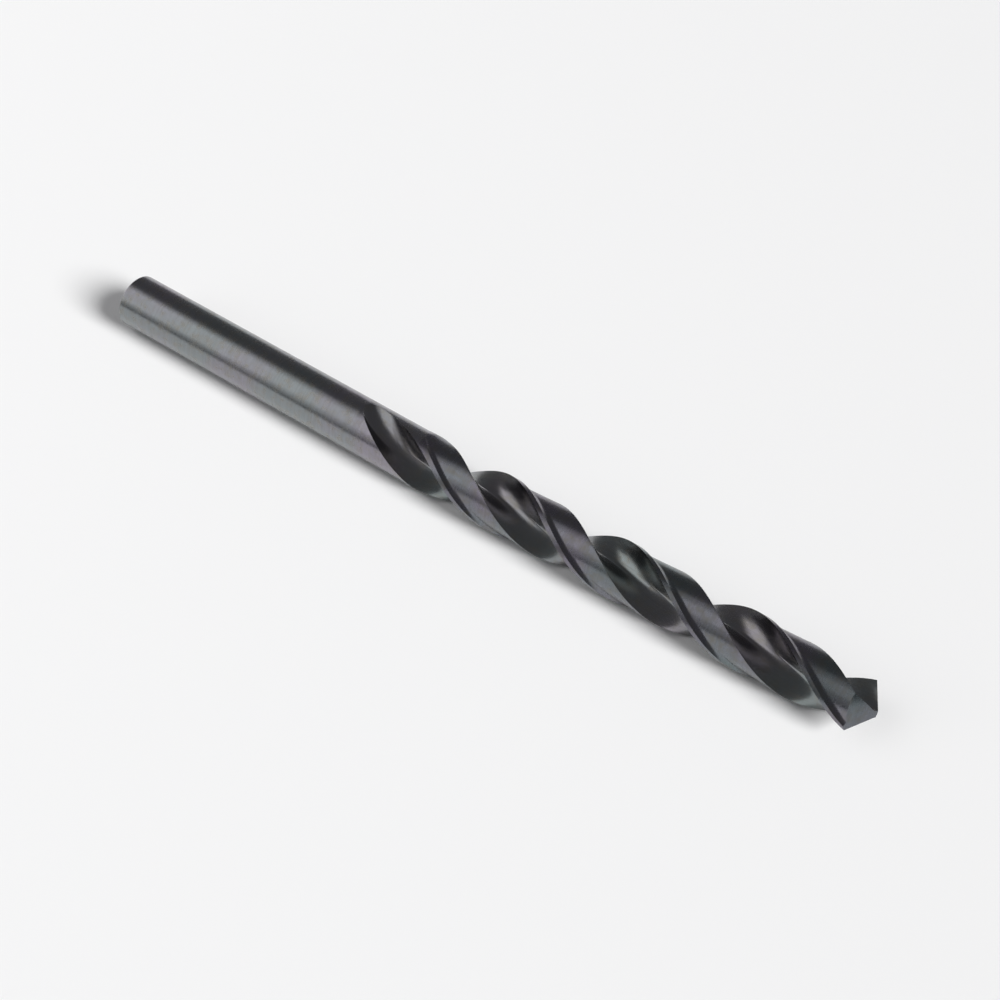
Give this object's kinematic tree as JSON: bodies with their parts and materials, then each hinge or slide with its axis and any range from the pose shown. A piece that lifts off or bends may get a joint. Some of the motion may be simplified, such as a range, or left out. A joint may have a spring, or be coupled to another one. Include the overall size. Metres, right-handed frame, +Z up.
{
  "type": "twist drill bit",
  "caption": "Jobber-length twist drill for metal with a plain parallel shank, right-hand helical flutes and a ground conical point, in black oxide.",
  "frame": {"origin": "centre of the shank's end face, on the drill's axis", "axes": "+X along the drill's axis towards its point, +Z up as the drill lies on its side"},
  "size_m": [0.109, 0.007, 0.007],
  "materials": {
    "black_oxide_steel": "satin black oxide on high speed steel"
  },
  "bodies": {
    "root": {"twist_drill": "black_oxide_steel"}
  },
  "joints": []
}
